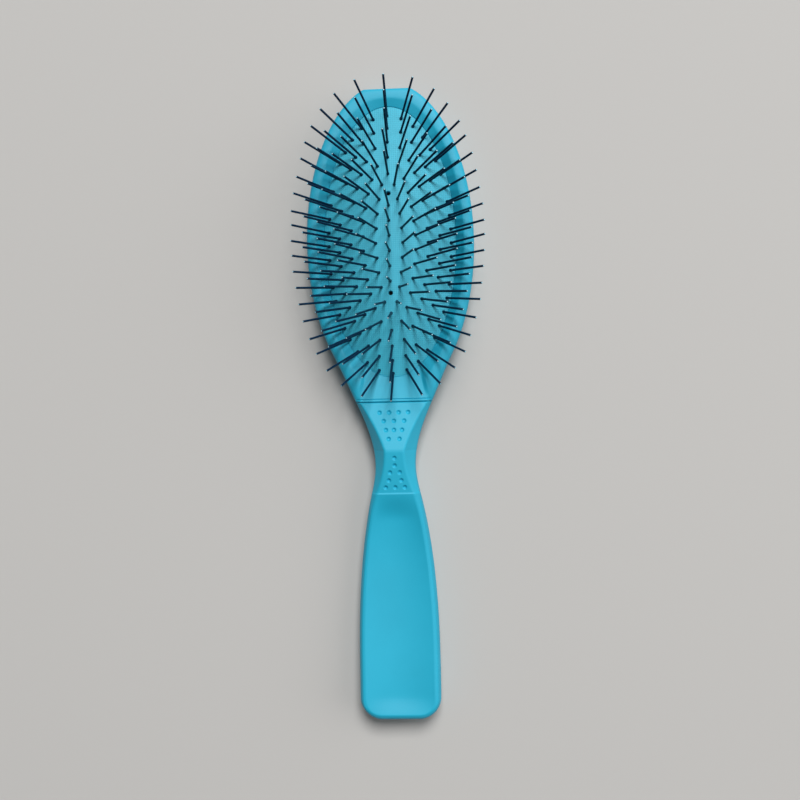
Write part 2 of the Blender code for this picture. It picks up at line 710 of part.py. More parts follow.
def build_cushion(rows, parts, material):
    """Domed rubber sheet with a flange, slotted for the pin strips and vented."""
    loops = [oval_loop(FLANGE_WIDTH, RUBBER_STEPS)]
    loops += [slot_loop(places) for places in rows.values()]
    for side in (-1, 1):
        centre = Vector((0.0, side * VENT_SHARE * OUTER_RING_HALF_LENGTH - PIN_FIELD_SETBACK))
        turns = [2 * math.pi * i / VENT_SIDES for i in range(VENT_SIDES)]
        loops.append([centre + Vector((math.cos(t), math.sin(t))) * VENT_RADIUS for t in turns])
    points = []
    faces = []
    for loop in loops:
        faces.append(list(range(len(points), len(points) + len(loop))))
        points += loop
    dome_edge = oval_loop(0.0, RUBBER_STEPS)
    first = len(points)
    points += dome_edge
    last = len(points) - 1
    edges = [(i, i + 1) for i in range(first, last)] + [(last, first)]
    flat = delaunay_2d_cdt(points, edges, faces, 0, 1e-7)
    flat_points, _, triangles, _, _, origins = flat

    bm = bmesh.new()
    top = [bm.verts.new((*p, rubber_height(*p))) for p in flat_points]
    for triangle, origin in zip(triangles, origins):
        if origin == [0]:
            bm.faces.new([top[i] for i in triangle])
    for vertex in [v for v in bm.verts if not v.link_faces]:
        bm.verts.remove(vertex)
    sheet = bmesh.ops.extrude_face_region(bm, geom=bm.faces[:])
    lower = [item for item in sheet["geom"] if isinstance(item, bmesh.types.BMVert)]
    bmesh.ops.translate(bm, verts=lower, vec=(0.0, 0.0, -RUBBER_THICKNESS))
    return make_object("rubber_cushion", bm, parts, material)


def main():
    """Build every piece of the brush."""
    clear_scene()
    scene = bpy.context.scene
    parts = bpy.data.collections.new("pin_brush")
    cutters = bpy.data.collections.new("cutters")
    scene.collection.children.link(parts)
    scene.collection.children.link(cutters)
    plastic = make_material(BODY_PLASTIC)
    rubber = make_material(CUSHION_RUBBER)
    nylon = make_material(PIN_NYLON)
    build_back_shell(parts, cutters, plastic)
    build_front_shell(parts, cutters, plastic)
    build_bezel(parts, plastic)
    rows = pin_rows()
    build_cushion(rows, parts, rubber)
    for name, places in rows.items():
        build_pin_row(name, places, parts, nylon)


main()
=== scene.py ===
# %% [markdown]
# # A cushion pin brush
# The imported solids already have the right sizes, but their faces are flat and
# their pins are square. This lesson dresses them: smooth moulded shells, a domed
# rubber cushion with a woven grain, and 166 round pins that sink with the cushion.
# Everything is in metres. +Y points to the head, +X to the right, +Z up.

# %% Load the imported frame
import math

import bmesh
import bpy
import numpy as np
from mathutils import Matrix, Vector


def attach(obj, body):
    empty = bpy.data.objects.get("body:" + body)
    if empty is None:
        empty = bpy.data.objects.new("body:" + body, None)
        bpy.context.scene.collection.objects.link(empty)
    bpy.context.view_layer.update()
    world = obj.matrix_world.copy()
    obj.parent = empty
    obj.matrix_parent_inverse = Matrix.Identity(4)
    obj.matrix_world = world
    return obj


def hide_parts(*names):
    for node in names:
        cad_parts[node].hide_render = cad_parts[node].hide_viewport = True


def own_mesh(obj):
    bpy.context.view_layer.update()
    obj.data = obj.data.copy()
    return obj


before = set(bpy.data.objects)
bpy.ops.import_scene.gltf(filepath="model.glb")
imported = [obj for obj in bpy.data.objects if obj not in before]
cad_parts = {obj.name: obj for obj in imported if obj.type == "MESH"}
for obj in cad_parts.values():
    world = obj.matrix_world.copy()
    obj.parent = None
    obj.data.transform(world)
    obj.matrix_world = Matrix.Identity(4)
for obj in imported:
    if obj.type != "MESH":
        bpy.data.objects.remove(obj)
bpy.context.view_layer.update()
print("solids:", len(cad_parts))

# %% [markdown]
# ## Sizes
# The same sizes shape the solids, so every surface below lands on its solid.
# They are written once here, in millimetres, and turned into metres.

# %% Sizes of the brush
MM = 0.001

HEAD_HALF_WIDTH = 30.5 * MM
HEAD_HALF_LENGTH = 58.2 * MM
HEAD_FLAT_HALF_WIDTH = 8.6 * MM
RIM_WIDTH = 6.5 * MM                # between the cushion and the head's edge
HEAD_TOP_Y = HEAD_HALF_LENGTH * math.sqrt(1 - (HEAD_FLAT_HALF_WIDTH / HEAD_HALF_WIDTH) ** 2)
PAD_HALF_WIDTH = HEAD_HALF_WIDTH - RIM_WIDTH
PAD_HALF_LENGTH = HEAD_TOP_Y - RIM_WIDTH
OVAL_END_ANGLE = math.radians(-44)  # where the oval ends and the neck's sweep begins

# Places along the brush, from the head down to the end of the grip
SEAM_Y = -PAD_HALF_LENGTH - 8.9 * MM
CREST_Y = SEAM_Y - 17.5 * MM
WAIST_Y = CREST_Y - 5.7 * MM
STEP_Y = CREST_Y - 15.5 * MM
SWELL_Y = STEP_Y - 42.3 * MM
END_Y = STEP_Y - 82.4 * MM
CORNER_RADIUS = 8.0 * MM
CORNER_Y = END_Y + CORNER_RADIUS

# Half-widths at those places, and borders of the facets
NECK_SEAM_HALF_WIDTH = 13.8 * MM
CREST_HALF_WIDTH = 3.6 * MM         # of the flat facet, not of the whole neck
WAIST_HALF_WIDTH = 7.3 * MM
STEP_HALF_WIDTH = 8.7 * MM
SWELL_HALF_WIDTH = 14.3 * MM
GRIP_HALF_WIDTH = 14.7 * MM
SEAM_FACET_INSET = 1.4 * MM
GRIP_BAND = 1.8 * MM

# Heights, from the flat back up to the crown of the cushion
BACK_DEPTH = 7.5 * MM
SEAM_GAP = 0.3 * MM
RUBBER_THICKNESS = 1.3 * MM
FLANGE_WIDTH = 2.2 * MM
LIP_THICKNESS = 0.6 * MM
FRONT_BOTTOM = BACK_DEPTH + SEAM_GAP
FLANGE_TOP = FRONT_BOTTOM + RUBBER_THICKNESS
LIP_BOTTOM = FLANGE_TOP + SEAM_GAP
LIP_TOP = LIP_BOTTOM + LIP_THICKNESS
SHOULDER_RISE = 0.6 * MM
CROWN_RISE = 5.2 * MM
PIN_FIELD_SETBACK = 1.1 * MM        # of pins and vents, towards the handle
print(f"length {(HEAD_TOP_Y - END_Y) / MM:.1f} mm, head {2 * HEAD_HALF_WIDTH / MM:.1f} mm wide")

# %% [markdown]
# ## Camera
# The photo is taken from above the middle of the brush, a little from its right
# side: upright pins lean to the left in the picture. The brush lies turned by
# about one degree, so the camera is rolled instead of the brush. It is placed
# first, because everything else is judged through it.

# %% Camera above the brush
AIM = Vector((2.35 * MM, -57.6 * MM, 12.0 * MM))
EYE = Vector((19.5 * MM, -57.6 * MM, 350.0 * MM))
ROLL = math.radians(1.37)
LENS = 42.1


def add_camera(eye, aim, roll, lens):
    """Camera at eye that looks at aim; its up side is +Y turned by roll."""
    forward = (aim - eye).normalized()
    up = Vector((math.sin(roll), math.cos(roll), 0.0))
    right = forward.cross(up).normalized()
    up = right.cross(forward)
    camera = bpy.data.objects.new("camera", bpy.data.cameras.new("camera"))
    camera.data.lens = lens
    camera.data.clip_start = 0.01
    turned = Matrix((right, up, -forward)).transposed().to_4x4()
    camera.matrix_world = Matrix.Translation(eye) @ turned
    bpy.context.scene.collection.objects.link(camera)
    return camera


bpy.context.scene.camera = add_camera(EYE, AIM, ROLL, LENS)
print("camera height:", round(EYE.z, 3))

# %% [markdown]
# ## Mesh helpers
# A surface is a grid of points worked out at once with numpy. Two helpers turn
# such grids into closed meshes: one lists the quads of a grid, the other makes
# the object, welds seams and points all faces outwards.

# %% Grid faces and objects


def grid_faces(rows, columns, first=0, close_rows=False, close_columns=False):
    """Quads between neighbouring points of a grid that starts at vertex first."""
    r = np.arange(rows if close_rows else rows - 1)
    c = np.arange(columns if close_columns else columns - 1)
    r, c = np.meshgrid(r, c, indexing="ij")
    r_next = (r + 1) % rows
    c_next = (c + 1) % columns
    corners = (r * columns + c, r * columns + c_next,
               r_next * columns + c_next, r_next * columns + c)
    return np.stack(corners, axis=-1).reshape(-1, 4) + first


def make_piece(name, points, faces, material, sharp_angle=40):
    """Object of the points and faces, welded, facing out and shaded smooth."""
    mesh = bpy.data.meshes.new(name)
    mesh.from_pydata(np.asarray(points).reshape(-1, 3), [], faces)
    work = bmesh.new()
    work.from_mesh(mesh)
    bmesh.ops.remove_doubles(work, verts=work.verts, dist=1e-6)
    bmesh.ops.dissolve_degenerate(work, edges=work.edges, dist=1e-7)
    bmesh.ops.recalc_face_normals(work, faces=work.faces)
    work.to_mesh(mesh)
    work.free()
    mesh.shade_smooth()
    mesh.set_sharp_from_angle(angle=math.radians(sharp_angle))
    mesh.materials.append(material)
    piece = bpy.data.objects.new(name, mesh)
    bpy.context.scene.collection.objects.link(piece)
    print(f"{name}: {len(mesh.polygons)} faces")
    return piece


# %% [markdown]
# ## Plan outline
# In plan the head is an oval cut flat at the top. From there the sides sweep in
# to the neck, are narrowest just below the crest, and widen again to the grip.
# The sweep is a smooth curve through a few measured widths and slopes. The half
# outline is resampled to even steps and blurred a little, which softens the two
# corners of the flat top as the moulding does.

# %% Half-width along the brush
# Each station is a place along the brush, the half-width there, and its slope
SIDE_STATIONS = np.array((
    (HEAD_HALF_LENGTH * math.sin(OVAL_END_ANGLE), HEAD_HALF_WIDTH * math.cos(OVAL_END_ANGLE),
     -math.tan(OVAL_END_ANGLE) * HEAD_HALF_WIDTH / HEAD_HALF_LENGTH),
    (SEAM_Y, NECK_SEAM_HALF_WIDTH, 0.46),
    (WAIST_Y, WAIST_HALF_WIDTH, 0.0),
    (STEP_Y, STEP_HALF_WIDTH, -0.245),
    (SWELL_Y, SWELL_HALF_WIDTH, -0.05),
    (CORNER_Y, GRIP_HALF_WIDTH, 0.0),
))
OUTLINE_POINTS = 700
BLUR_REACH = 3


def smooth_curve(y, stations):
    """Cubic between stations of (place, value, slope), from high places to low."""
    y = np.asarray(y, float)
    places, values, slopes = np.asarray(stations).T
    i = np.clip(np.searchsorted(-places, -y, side="right") - 1, 0, len(places) - 2)
    span = places[i + 1] - places[i]
    t = np.clip((y - places[i]) / span, 0, 1)
    toward = t * t * (3 - 2 * t)
    value = values[i] + (values[i + 1] - values[i]) * toward
    return value + span * (slopes[i] * t * (1 - t) ** 2 + slopes[i + 1] * t * t * (t - 1))


def half_outline(count):
    """Right side from the middle of the flat top to the middle of the grip's end."""
    top = np.linspace(0, HEAD_FLAT_HALF_WIDTH, 20, endpoint=False)
    angle = np.linspace(math.asin(HEAD_TOP_Y / HEAD_HALF_LENGTH), OVAL_END_ANGLE, 300)
    y = np.linspace(SIDE_STATIONS[0, 0], CORNER_Y, 500)[1:]
    corner = np.linspace(0, math.pi / 2, 60)[1:]
    corner_x = GRIP_HALF_WIDTH - CORNER_RADIUS
    x_all = np.concatenate((top, HEAD_HALF_WIDTH * np.cos(angle), smooth_curve(y, SIDE_STATIONS),
                            corner_x + CORNER_RADIUS * np.cos(corner), [0.0]))
    y_all = np.concatenate((top * 0 + HEAD_TOP_Y, HEAD_HALF_LENGTH * np.sin(angle), y,
                            CORNER_Y - CORNER_RADIUS * np.sin(corner), [END_Y]))
    length = np.concatenate(([0], np.cumsum(np.hypot(np.diff(x_all), np.diff(y_all)))))
    even = np.linspace(0, length[-1], count)
    side = np.stack((np.interp(even, length, x_all), np.interp(even, length, y_all)), axis=1)
    return soften(side, BLUR_REACH)


def soften(side, reach):
    """Blur a half outline along itself; its mirror image carries on past both ends."""
    flip = np.array((-1, 1))
    pad = 4 * reach
    padded = np.concatenate((side[pad:0:-1] * flip, side, side[-2:-pad - 2:-1] * flip))
    offsets = np.arange(-pad, pad + 1)
    weights = np.exp(-0.5 * (offsets / (reach * 0.55)) ** 2)
    weights /= weights.sum()
    return np.stack([np.convolve(padded[:, k], weights, mode="valid") for k in (0, 1)], axis=1)


right_side = half_outline(OUTLINE_POINTS)
body_outline = np.concatenate((right_side, right_side[-2:0:-1] * (-1, 1)))
print("outline points:", len(body_outline))

# %% [markdown]
# ## Plastic
# The shells are one batch of teal plastic with a satin, slightly soft skin. Under
# the lamp it shows no mirror image, only a broad pale sheen, so both the roughness
# and the specular level are high.
# A very fine speckle breaks the sheen up, and a slow, faint cloudiness keeps large
# faces from looking printed. Both are noise in object coordinates, in metres.

# %% Teal satin plastic


def new_material(name):
    """Empty node material and its Principled shader."""
    material = bpy.data.materials.new(name)
    material.use_nodes = True
    return material, material.node_tree, material.node_tree.nodes["Principled BSDF"]


def noise(tree, scale, detail):
    """Noise in object coordinates with scale cells a metre."""
    place = tree.nodes.new("ShaderNodeTexCoord")
    node = tree.nodes.new("ShaderNodeTexNoise")
    node.inputs["Scale"].default_value = scale
    node.inputs["Detail"].default_value = detail
    tree.links.new(place.outputs["Object"], node.inputs["Vector"])
    return node.outputs["Fac"]


def ramp(tree, value, low, high, start=0.3, end=0.7):
    """Colours from low to high as value goes from start to end."""
    node = tree.nodes.new("ShaderNodeValToRGB")
    node.color_ramp.elements[0].position = start
    node.color_ramp.elements[1].position = end
    node.color_ramp.elements[0].color = (*low, 1)
    node.color_ramp.elements[1].color = (*high, 1)
    tree.links.new(value, node.inputs["Fac"])
    return node.outputs["Color"]


def spread(tree, value, low, high):
    """A value from 0 to 1 moved to the range from low to high."""
    node = tree.nodes.new("ShaderNodeMapRange")
    node.inputs["To Min"].default_value = low
    node.inputs["To Max"].default_value = high
    tree.links.new(value, node.inputs["Value"])
    return node.outputs["Result"]


def bump(tree, height, distance, strength):
    """Bump of a height from 0 to 1, distance metres deep."""
    node = tree.nodes.new("ShaderNodeBump")
    node.inputs["Strength"].default_value = strength
    node.inputs["Distance"].default_value = distance
    tree.links.new(height, node.inputs["Height"])
    return node.outputs["Normal"]


def satin_plastic(name, low, high):
    """Moulded plastic: faint clouds of colour, fine speckle, broad sheen."""
    material, tree, shader = new_material(name)
    clouds = noise(tree, 45, 3)
    speckle = noise(tree, 2600, 2)
    tree.links.new(ramp(tree, clouds, low, high), shader.inputs["Base Color"])
    tree.links.new(spread(tree, speckle, 0.56, 0.66), shader.inputs["Roughness"])
    tree.links.new(bump(tree, speckle, 0.00004, 0.35), shader.inputs["Normal"])
    shader.inputs["Specular IOR Level"].default_value = 0.6
    return material


teal_plastic = satin_plastic("teal_satin_plastic", (0.003, 0.375, 0.55), (0.005, 0.405, 0.59))
print("made", teal_plastic.name)

# %% [markdown]
# ## Back shell
# The back is a shallow pan with a flat underside, on which the brush lies, and a
# quarter-round edge. It could be carved, but a profile carried round the outline
# gives the even rounding of a moulding: each profile point is a distance in from
# the outline and a height. The floor and the back are closed straight across.

# %% Profile carried round an outline


def inset(loop, distance):
    """The closed outline moved inwards along its own normals, for each distance."""
    ahead = np.roll(loop, -1, axis=0) - np.roll(loop, 1, axis=0)
    ahead /= np.linalg.norm(ahead, axis=1, keepdims=True)
    inward = np.stack((ahead[:, 1], -ahead[:, 0]), axis=1)
    return loop[None] + np.asarray(distance)[:, None, None] * inward[None]


def across_faces(count, first):
    """Quads straight across a symmetric closed loop that starts on its mid-line."""
    i = np.arange(1, count // 2 - 1)
    quads = np.stack((i, i + 1, count - i - 1, count - i), axis=1) + first
    ends = [[first, first + 1, first + count - 1],
            [first + count // 2 - 1, first + count // 2, first + count // 2 + 1]]
    return quads.tolist() + ends


def quarter(start, end, steps, steep_first):
    """Points of a quarter ellipse between two (inset, height) points."""
    t = np.linspace(0, math.pi / 2, steps)
    a, b = (1 - np.cos(t), np.sin(t)) if steep_first else (np.sin(t), 1 - np.cos(t))
    (x0, z0), (x1, z1) = start, end
    return np.stack((x0 + (x1 - x0) * a, z0 + (z1 - z0) * b), axis=1)


SHELL_WALL = 3.0 * MM
FLOOR_THICKNESS = 2.2 * MM
PARTING_EDGE = 0.35 * MM
BACK_EDGE_INSET = 4.2 * MM
BACK_EDGE_HEIGHT = 5.6 * MM


def make_back_shell():
    """Pan: floor edge, inner wall, parting face, outer wall, round edge, flat back."""
    wall, edge = SHELL_WALL, PARTING_EDGE
    profile = np.concatenate((
        [(wall, FLOOR_THICKNESS), (wall, BACK_DEPTH - edge)],
        quarter((wall - edge / 3, BACK_DEPTH), (edge, BACK_DEPTH), 2, False),
        quarter((edge, BACK_DEPTH), (0, BACK_DEPTH - edge), 4, False),
        quarter((0, BACK_EDGE_HEIGHT), (BACK_EDGE_INSET, 0), 14, True),
    ))
    loops = inset(body_outline, profile[:, 0])
    heights = np.broadcast_to(profile[:, 1, None, None], (*loops.shape[:2], 1))
    points = np.concatenate((loops, heights), axis=2)
    rows, columns = points.shape[:2]
    faces = grid_faces(rows, columns, close_columns=True).tolist()
    faces += across_faces(columns, 0) + across_faces(columns, (rows - 1) * columns)
    return make_piece("back_pan", points, faces, teal_plastic)


back_pan = make_back_shell()
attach(back_pan, "body")
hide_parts("back_shell")

# %% [markdown]
# ## Rim
# The oval rim is a separate moulding that clamps the cushion. Its section is a
# round crest with a sloping wall inside that ends in a thin lip over the rubber. The
# crest is lower at the head end, so the wall slopes less there.
# Towards the handle the crest runs out: there the rim is a flat face that rises
# from the lip to the seam, with a fine groove just before the seam. So the section
# is carried from the outline to the cushion's oval, and blends to a plain slope
# where the outline follows the seam.

# %% Rim outline and section
RIM_RISE = 2.0 * MM
RIM_DIP_SHARE = 0.45        # of that rise, lost towards the head end
RIM_DIP_RUN = 28.0 * MM
RIM_CLEARANCE = 0.02 * MM   # between the rim's lip and the cushion's oval
GROOVE_OFFSET = 1.05 * MM   # from the seam to the fine groove before it
GROOVE_WIDTH = 0.11 * MM
GROOVE_DEPTH = 0.26 * MM
SEAM_ROUND_WIDTH = 0.45 * MM
SEAM_ROUND_DROP = 0.7 * MM

# Share of the way inwards, and drop below the crest as a share of the rise
RIM_CURVE = np.array(((0.0, 1.15), (0.03, 0.72), (0.08, 0.42), (0.15, 0.20), (0.25, 0.07),
                      (0.36, 0.01), (0.46, 0.0), (0.53, 0.02), (0.57, 0.06), (0.61, 0.13),
                      (0.66, 0.25), (0.96, 1.0), (1.0, 1.12)))


def rim_outline():
    """Head outline down to the seam, then straight along the seam to the middle."""
    keep = right_side[right_side[:, 1] > SEAM_Y]
    seam_x = np.interp(SEAM_Y, right_side[::-1, 1], right_side[::-1, 0])
    seam = np.linspace(seam_x, 0, 60)
    side = np.concatenate((keep, np.stack((seam, seam * 0 + SEAM_Y), axis=1)))
    return np.concatenate((side, side[-2:0:-1] * (-1, 1)))


def to_oval(points, extra):
    """Where rays from the pad's centre meet the cushion's oval grown by extra."""
    axes = np.array((PAD_HALF_WIDTH + extra, PAD_HALF_LENGTH + extra))
    return points / np.linalg.norm(points / axes, axis=-1, keepdims=True)


def ease(low, high, value):
    """0 below low, 1 above high, smooth between."""
    t = np.clip((value - low) / (high - low), 0, 1)
    return t * t * (3 - 2 * t)


def make_rim():
    """Section points lie on the line from outline to oval, at heights of the crest
    or of the plain slope, whichever the place on the outline asks for."""
    outer = rim_outline()
    inner = to_oval(outer, RIM_CLEARANCE)
    groove = to_oval(outer, FLANGE_WIDTH + SEAM_GAP)
    width = np.linalg.norm(outer - inner, axis=1)
    on_seam = outer[:, 1] < SEAM_Y + 0.01 * MM
    flat = on_seam * (1 - ease(NECK_SEAM_HALF_WIDTH - SEAM_FACET_INSET - 0.5 * MM,
                               NECK_SEAM_HALF_WIDTH, np.abs(outer[:, 0])))

    # Extra rows by the outer edge and across the groove
    fine = np.array((0.07, 0.15, 0.24, 0.34, 0.45, 0.86, 0.95, 1.05, 1.15, 1.24)) * MM
    share = np.unique(np.concatenate((np.linspace(0, 1, 33), RIM_CURVE[:, 0])))
    share = np.broadcast_to(share[:, None], (len(share), len(outer)))
    share = np.sort(np.concatenate((share, fine[:, None] / width[None])), axis=0)
    crest_drop = np.interp(share, RIM_CURVE[:, 0], RIM_CURVE[:, 1])
    dip = RIM_DIP_SHARE * ease(HEAD_TOP_Y - RIM_DIP_RUN, HEAD_TOP_Y, outer[:, 1])
    height = LIP_TOP + RIM_RISE * (1 - dip) * (1 - crest_drop * (1 - flat) - share * flat)
    line = np.exp(-((share * width - GROOVE_OFFSET) / GROOVE_WIDTH) ** 2)
    past_round = np.clip(1 - share * width / SEAM_ROUND_WIDTH, 0, 1)
    rounding = 1 - np.sqrt(1 - past_round ** 2)
    height = height - (GROOVE_DEPTH * line + SEAM_ROUND_DROP * rounding * flat) * on_seam

    top = np.concatenate((outer[None] + share[..., None] * (inner - outer)[None],
                          height[..., None]), axis=2)
    below = [np.concatenate((loop, np.full((len(outer), 1), z)), axis=1)
             for loop, z in ((inner, LIP_BOTTOM), (groove, LIP_BOTTOM),
                             (groove, FRONT_BOTTOM), (outer, FRONT_BOTTOM))]
    points = np.concatenate((top, np.stack(below)))
    rows, columns = points.shape[:2]
    faces = grid_faces(rows, columns, close_rows=True, close_columns=True).tolist()
    return make_piece("oval_rim", points, faces, teal_plastic)


rim = make_rim()
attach(rim, "body")
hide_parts("head_bezel")

# %% [markdown]
# ## Neck and grip
# The front of the handle is one moulding. Its neck has two flat facets that meet
# in a crest and steep facets down both sides; below a small step the grip has a
# long hollow face with a bevelled border. All of that is one height over the plan:
# the lower of the face and of a slope that climbs from the edge. A soft minimum
# rounds the edge between them, and the outermost edge is a quarter round that
# grows wider at the grip's end. The dimples are shallow bowls taken out of it.

# %% Height of the handle's front
NECK_SEAM_RISE = 4.3 * MM
CREST_RISE = 8.5 * MM
STEP_RISE = 6.1 * MM
STEP_LIFT = 0.35 * MM       # of the grip's face above the end of the facet
SCOOP_OFFSET = 29.0 * MM    # from the step to the lowest place of the face
SCOOP_RISE = 3.3 * MM
GRIP_END_RISE = 6.0 * MM
HOLLOW_DEPTH = 1.6 * MM
HOLLOW_START_RUN = 10.0 * MM
HOLLOW_END_RUN = 9.0 * MM

# Places along the handle, and how far the slope at the edge falls there
FALL_PLACES = np.array((END_Y, CORNER_Y, STEP_Y, CREST_Y, SEAM_Y))
FALLS = np.array((0.7, 2.2, 2.2, 6.5, 2.3)) * MM


def soft_min(a, b, radius):
    """The smaller of two heights, with their crossing rounded off."""
    t = np.clip(0.5 + 0.5 * (b - a) / radius, 0, 1)
    return b + (a - b) * t - radius * t * (1 - t)


def face_height(y):
    """Two straight facets with a soft crest, a small step up, then the hollow face."""
    upper_slope = (CREST_RISE - NECK_SEAM_RISE) / (SEAM_Y - CREST_Y)
    lower_slope = (CREST_RISE - STEP_RISE) / (CREST_Y - STEP_Y)
    facets = soft_min(NECK_SEAM_RISE + (SEAM_Y - y) * upper_slope,
                      CREST_RISE - (CREST_Y - y) * lower_slope, 0.35 * MM)
    scoop = smooth_curve(y, ((STEP_Y, STEP_RISE + STEP_LIFT, 0.24),
                             (STEP_Y - SCOOP_OFFSET, SCOOP_RISE, 0.0),
                             (END_Y, GRIP_END_RISE, -0.05)))
    past_step = ease(-0.25 * MM, 0.25 * MM, STEP_Y - y)
    return BACK_DEPTH + facets * (1 - past_step) + scoop * past_step


def face_hollow(x, y):
    """How far the grip's face sinks between its sides: depth times (1 - share squared)."""
    start = ease(0, HOLLOW_START_RUN, STEP_Y - y)
    end = ease(0, HOLLOW_END_RUN, y - END_Y)
    share = np.abs(x) / (smooth_curve(y, SIDE_STATIONS) - GRIP_BAND)
    return HOLLOW_DEPTH * start * end * np.maximum(0, 1 - share ** 2)


def edge_distance(x, y):
    """Distance in from the handle's outline: its sides, then its round corners."""
    step = 0.2 * MM
    above, below = (smooth_curve(y + shift, SIDE_STATIONS) for shift in (step, -step))
    slope = (above - below) / (2 * step)
    side = (smooth_curve(y, SIDE_STATIONS) - np.abs(x)) / np.sqrt(1 + slope ** 2)
    past = np.maximum(CORNER_Y - y, 0)
    beside = np.maximum(np.abs(x) - (GRIP_HALF_WIDTH - CORNER_RADIUS), 0)
    return np.where(y < CORNER_Y, CORNER_RADIUS - np.hypot(beside, past), side)


def bevel(y):
    """Width in plan and fall of the slope along the edge, at places y."""
    crest_band = smooth_curve(CREST_Y, SIDE_STATIONS) - CREST_HALF_WIDTH
    bands = np.array((GRIP_BAND, GRIP_BAND, GRIP_BAND, crest_band, SEAM_FACET_INSET))
    return np.interp(y, FALL_PLACES, bands), np.interp(y, FALL_PLACES, FALLS)


# %% Dimples on the neck
DIMPLE_RADIUS = 0.85 * MM
DIMPLE_DEPTH = 0.65 * MM

# Rows of dimples: distance along the facet and spacing in millimetres, and count
UPPER_ROWS = ((3.8, 3.45, 4), (6.85, 3.7, 3), (10.1, 2.9, 3), (13.3, 3.9, 2))
LOWER_ROWS = ((2.6, 3.5, 1), (5.35, 3.5, 1), (7.85, 3.5, 2), (10.75, 4.5, 2), (13.3, 3.45, 3))


def dimple_centres():
    """Centres of all dimples; each row is centred on the mid-line."""
    centres = [((i - (count - 1) / 2) * pitch * MM, start - along * MM)
               for start, rows in ((SEAM_Y, UPPER_ROWS), (CREST_Y, LOWER_ROWS))
               for along, pitch, count in rows for i in range(count)]
    return np.array(centres)


def dimple_depth(x, y):
    """Bowl 1.7 mm wide at each centre: deepest inside, with a short rounded rim."""
    depth = np.zeros_like(x)
    for cx, cy in dimple_centres():
        r = np.hypot(x - cx, y - cy) / DIMPLE_RADIUS
        depth = np.maximum(depth, DIMPLE_DEPTH * (1 - ease(0.3, 1.05, r)))
    return depth


print("dimples:", len(dimple_centres()))

# %% Neck and grip surface
SEAM_CLEARANCE = 0.06 * MM      # between the rim and the handle's front
EDGE_RADIUS = 0.6 * MM          # of the neck's outer edge
GRIP_EDGE_GAIN = 0.6 * MM       # more of it on the grip
END_EDGE_GAIN = 1.8 * MM        # and more again round the grip's end
FACET_ROUNDING = 0.8 * MM       # between the face and the slope beside it


def make_handle_front():
    """Grid across and along the handle, with walls and a flat underside."""
    # Rows are closest at the seam, where the edge is round; columns crowd to the sides
    top_y = SEAM_Y - SEAM_CLEARANCE
    neck = np.linspace(top_y, STEP_Y - 0.6 * MM, 210)
    grip = np.linspace(STEP_Y - 0.6 * MM, CORNER_Y, 70)[1:]
    end = CORNER_Y - CORNER_RADIUS * np.sin(np.linspace(0, math.pi / 2, 40)[1:])
    start = top_y - np.array((0, 0.07, 0.15, 0.24, 0.34, 0.45)) * MM
    y = np.concatenate((start, neck[neck < start[-1] - 0.05 * MM], grip, end))
    s = np.linspace(-1, 1, 151)
    u = 0.35 * s + 0.65 * np.sin(s * math.pi / 2)
    past = np.clip((CORNER_Y - y) / CORNER_RADIUS, 0, 1)
    w = smooth_curve(y, SIDE_STATIONS) - CORNER_RADIUS * (1 - np.sqrt(1 - past ** 2))
    x = w[:, None] * u[None]
    y = np.broadcast_to(y[:, None], x.shape)

    band, fall = bevel(y)
    inward = np.maximum(edge_distance(x, y), 0)
    sides = face_height(y)
    roundness = 1 + 0.7 * ease(0, 8.0 * MM, STEP_Y - y)
    slope = sides - fall * np.maximum(1 - inward / band, 0) ** roundness
    slope = slope + np.maximum(inward - band, 0)
    z = soft_min(sides - face_hollow(x, y), slope, FACET_ROUNDING) - dimple_depth(x, y)
    edge = (EDGE_RADIUS + GRIP_EDGE_GAIN * ease(0, 12.0 * MM, STEP_Y - y)
            + END_EDGE_GAIN * ease(0, CORNER_RADIUS, CORNER_Y - y))
    near = np.clip(1 - inward / edge, 0, 1)
    z = z - edge * (1 - np.sqrt(1 - near ** 2))
    near_seam = np.clip(1 - (top_y - y) / SEAM_ROUND_WIDTH, 0, 1)
    z = z - SEAM_ROUND_DROP * (1 - np.sqrt(1 - near_seam ** 2))

    rows, columns = x.shape
    points = np.stack((x, y, z), axis=2).reshape(-1, 3)
    left, right = points[::columns].copy(), points[columns - 1::columns].copy()
    left[:, 2] = right[:, 2] = FRONT_BOTTOM
    first = len(points)
    points = np.concatenate((points, left, right))
    i = np.arange(rows - 1)
    grid_left, grid_right = i * columns, i * columns + columns - 1
    low_left, low_right = first + i, first + rows + i
    walls = np.concatenate((
        np.stack((grid_left, grid_left + columns, low_left + 1, low_left), axis=1),
        np.stack((grid_right, grid_right + columns, low_right + 1, low_right), axis=1),
        np.stack((low_left, low_left + 1, low_right + 1, low_right), axis=1)))
    last_row = range((rows - 1) * columns, rows * columns)
    ends = [[*range(columns), first + rows, first],
            [*last_row, first + 2 * rows - 1, first + rows - 1]]
    faces = grid_faces(rows, columns).tolist() + walls.tolist() + ends
    return make_piece("handle_front", points, faces, teal_plastic, 50)


handle_front = make_handle_front()
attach(handle_front, "body")
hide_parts("front_shell")

# %% [markdown]
# ## Rubber
# The cushion is lighter and more matt than the shells, and its skin carries a fine
# square weave, three quarters of a millimetre from thread to thread. Two sine waves,
# one along each axis of the brush, give the threads. The greater of the two is a
# height that bends the light, and its valleys get a little painted shade, as a grain
# so fine needs no faces. The two vents carry painted shade inside, as dark as the
# hollow under the rubber that they open into.

# %% Teal rubber with a woven grain
THREAD_PITCH = 0.74 * MM
PIN_END_MARGIN = 2.6 * MM       # from the outermost pins to the cushion's end
VENT_Y = 0.383 * (PAD_HALF_LENGTH - PIN_END_MARGIN)
VENT_RADIUS = 0.75 * MM


